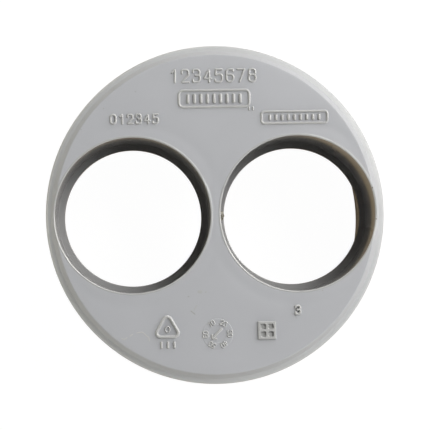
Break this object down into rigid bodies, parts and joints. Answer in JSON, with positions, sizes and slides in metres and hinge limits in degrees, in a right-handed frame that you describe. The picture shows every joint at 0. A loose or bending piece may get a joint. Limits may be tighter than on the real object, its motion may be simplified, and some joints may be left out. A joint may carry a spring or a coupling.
{
  "type": "reducing bushing",
  "caption": "Round pipe plug whose skirt fits a large waste-pipe socket, with smaller pipe sockets side by side in its flat face, each with a stop shoulder.",
  "frame": {"origin": "centre of the open end of the spigot, on the plane that the part stands on", "axes": "+Z along the spigot and both sockets, towards the flat face; +X from the left socket to the right one, as seen from above"},
  "size_m": [0.11, 0.11, 0.056],
  "materials": {
    "grey_pvc": "satin moulded rigid PVC, mid grey"
  },
  "bodies": {
    "root": {"bushing": "grey_pvc"}
  },
  "joints": []
}
